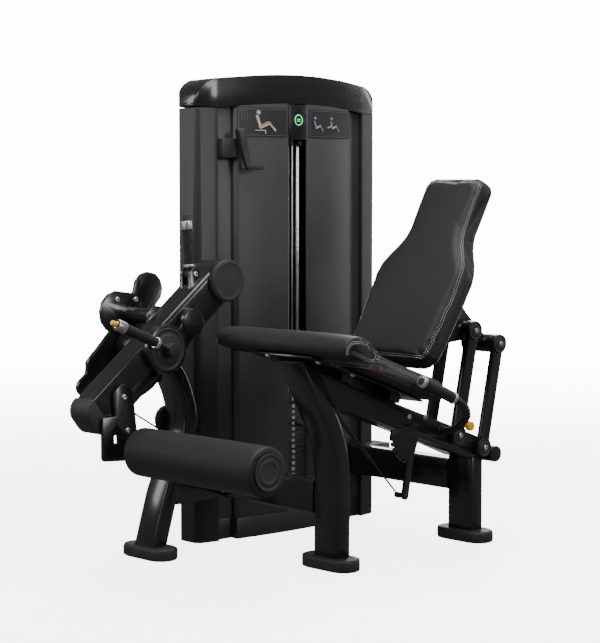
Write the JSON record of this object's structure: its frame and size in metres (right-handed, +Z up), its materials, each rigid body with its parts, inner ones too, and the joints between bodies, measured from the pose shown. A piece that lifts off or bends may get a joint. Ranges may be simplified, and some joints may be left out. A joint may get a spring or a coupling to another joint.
{
  "type": "leg extension machine",
  "caption": "Selectorised leg extension machine: arched weight tower, knee seat with four-bar backrest, and a cam-driven leg lever with shin roller.",
  "frame": {"origin": "Middle of the footprint, on the floor.", "axes": "+Z up, -X the way the seated user faces, +Y from the seat towards the weight tower."},
  "size_m": [1.386, 0.9586, 1.5],
  "materials": {
    "frame_paint": "gloss black powder coat",
    "shroud_panel": "satin smoke-grey sheet",
    "dark_plastic": "fine-grain moulded plastic",
    "vinyl": "charcoal upholstery vinyl over foam",
    "grip_rubber": "matte moulded rubber",
    "chrome": "polished plating",
    "iron": "black satin enamel",
    "orange_plastic": "glossy moulded plastic"
  },
  "bodies": {
    "frame": {"left_column": "frame_paint", "right_column": "frame_paint", "top_cap": "frame_paint", "front_panel_left": "shroud_panel", "front_panel_right": "shroud_panel", "rear_shroud": "shroud_panel", "tower_base": "iron", "header_plate": "iron", "guide_rod_left": "chrome", "guide_rod_right": "chrome", "rep_counter": "dark_plastic", "increment_block": "grip_rubber", "lower_plates": "iron", "resting_plate_1": "iron", "resting_plate_2": "iron", "cable_run": "grip_rubber", "cable_stack": "grip_rubber", "side_foot": "dark_plastic", "front_foot": "dark_plastic", "rear_foot": "dark_plastic", "side_leg": "frame_paint", "front_leg": "frame_paint", "rear_post": "frame_paint", "front_beam": "frame_paint", "rear_beam": "frame_paint", "seat_beam": "frame_paint", "seat_pan": "frame_paint", "thigh_pad": "vinyl", "seat_pad": "vinyl", "side_handle_near": "grip_rubber", "side_handle_far": "grip_rubber"},
    "lever": {"main_arm": "frame_paint", "arm_cap": "dark_plastic", "end_disc": "dark_plastic", "pivot_hub": "frame_paint", "cam_plate": "frame_paint"},
    "roller_arm": {"roller_link": "frame_paint"},
    "roller": {"roller_pad": "vinyl"},
    "range_lever": {"range_handle": "grip_rubber"},
    "range_tip": {"range_button": "orange_plastic"},
    "start_lever": {"start_handle": "grip_rubber"},
    "lifted_stack": {"head_plate": "iron", "lifted_plate_1": "iron", "lifted_plate_2": "iron", "lifted_plate_3": "iron", "lifted_plate_4": "iron"},
    "pin": {"weight_pin": "grip_rubber"},
    "increment": {"increment_arm": "grip_rubber"},
    "pulley_low": {"low_pulley": "dark_plastic"},
    "pulley_base": {"base_pulley": "dark_plastic"},
    "pulley_top_left": {"top_pulley_left": "dark_plastic"},
    "pulley_top_right": {"top_pulley_right": "dark_plastic"},
    "front_rocker": {"rocker_front": "frame_paint"},
    "rear_rocker": {"rocker_rear": "frame_paint"},
    "backrest": {"back_bracket": "frame_paint", "back_pad": "vinyl"},
    "knob": {"pull_knob": "orange_plastic"},
    "fan_crank": {"crank": "frame_paint"},
    "gas_cylinder": {"gas_body": "grip_rubber"},
    "gas_piston": {"gas_rod": "chrome"}
  },
  "joints": [
    {"name": "leg_lever", "type": "hinge", "parent": "frame", "child": "lever", "pos_m": [-0.385, 0.1917, 0.647], "axis": [0, 1, 0], "range_deg": [0, 75]},
    {"name": "shin_adjust", "type": "hinge", "parent": "lever", "child": "roller_arm", "pos_m": [-0.573, 0.1477, 0.525], "axis": [0, 1, 0], "range_deg": [-12, 20]},
    {"name": "roller_spin", "type": "hinge", "parent": "roller_arm", "child": "roller", "pos_m": [-0.556, -0.1983, 0.37], "axis": [0, 1, 0], "continuous": true},
    {"name": "range_handle_turn", "type": "hinge", "parent": "lever", "child": "range_lever", "pos_m": [-0.42, 0.0967, 0.656], "axis": [0, 1, 0], "range_deg": [0, 25]},
    {"name": "range_button_press", "type": "slide", "parent": "range_lever", "child": "range_tip", "axis": [0.923, 0, -0.3849], "range_m": [0, 0.005], "stiffness_N_per_m": 600},
    {"name": "start_handle_pull", "type": "hinge", "parent": "lever", "child": "start_lever", "pos_m": [-0.27, 0.1917, 0.872], "axis": [0, 1, 0], "range_deg": [0, 20], "stiffness_Nm_per_rad": 12},
    {"name": "stack_lift", "type": "slide", "parent": "frame", "child": "lifted_stack", "axis": [0, 0, 1], "range_m": [0, 0.22], "deforming": ["cable_stack"]},
    {"name": "pin_pull", "type": "slide", "parent": "lifted_stack", "child": "pin", "axis": [0, -1, 0], "range_m": [0, 0.06]},
    {"name": "increment_swing", "type": "hinge", "parent": "frame", "child": "increment", "pos_m": [0.035, 0.2967, 1.3], "axis": [1, 0, 0], "range_deg": [-25, 0]},
    {"name": "low_pulley_turn", "type": "hinge", "parent": "frame", "child": "pulley_low", "pos_m": [-0.229, 0.3537, 0.41], "axis": [0, 1, 0], "range_deg": [0, 310]},
    {"name": "base_pulley_turn", "type": "hinge", "parent": "frame", "child": "pulley_base", "pos_m": [0.013, 0.3537, 0.41], "axis": [0, 1, 0], "range_deg": [0, 310]},
    {"name": "top_left_pulley_turn", "type": "hinge", "parent": "frame", "child": "pulley_top_left", "pos_m": [0.095, 0.3537, 1.395], "axis": [0, 1, 0], "range_deg": [-310, 0]},
    {"name": "top_right_pulley_turn", "type": "hinge", "parent": "frame", "child": "pulley_top_right", "pos_m": [0.247, 0.3297, 1.395], "axis": [0, 1, 0], "range_deg": [-310, 0]},
    {"name": "backrest_swing", "type": "hinge", "parent": "frame", "child": "front_rocker", "pos_m": [0.45, -0.1983, 0.355], "axis": [0, 1, 0], "range_deg": [-8, 26]},
    {"name": "rear_rocker_swing", "type": "hinge", "parent": "frame", "child": "rear_rocker", "pos_m": [0.57, -0.1983, 0.306], "axis": [0, 1, 0], "range_deg": [-8, 26]},
    {"name": "backrest_level", "type": "hinge", "parent": "front_rocker", "child": "backrest", "pos_m": [0.522, -0.1983, 0.683], "axis": [0, 1, 0], "range_deg": [-26, 8]},
    {"name": "knob_pull", "type": "slide", "parent": "front_rocker", "child": "knob", "axis": [0, -1, 0], "range_m": [0, 0.012], "stiffness_N_per_m": 1200},
    {"name": "crank_swing", "type": "hinge", "parent": "frame", "child": "fan_crank", "pos_m": [0.248, -0.2553, 0.388], "axis": [0, 1, 0], "range_deg": [-8, 26]},
    {"name": "gas_cylinder_swing", "type": "hinge", "parent": "frame", "child": "gas_cylinder", "pos_m": [-0.069, -0.2263, 0.474], "axis": [0, 1, 0], "range_deg": [-3, 8]},
    {"name": "gas_piston_slide", "type": "slide", "parent": "gas_cylinder", "child": "gas_piston", "axis": [-0.7021, 0, 0.7121], "range_m": [-0.03, 0.1]}
  ],
  "couplings": [
    {"joint": "stack_lift", "follows": "leg_lever", "m_per_rad": 0.1663},
    {"joint": "low_pulley_turn", "follows": "leg_lever", "ratio": 4.0561},
    {"joint": "base_pulley_turn", "follows": "leg_lever", "ratio": 4.0561},
    {"joint": "top_left_pulley_turn", "follows": "leg_lever", "ratio": -4.0561},
    {"joint": "top_right_pulley_turn", "follows": "leg_lever", "ratio": -4.0561},
    {"joint": "rear_rocker_swing", "follows": "backrest_swing", "ratio": 1},
    {"joint": "backrest_level", "follows": "backrest_swing", "ratio": -1},
    {"joint": "crank_swing", "follows": "backrest_swing", "ratio": 1},
    {"joint": "gas_cylinder_swing", "follows": "backrest_swing", "ratio": 0.235},
    {"joint": "gas_piston_slide", "follows": "backrest_swing", "m_per_rad": 0.1814}
  ]
}
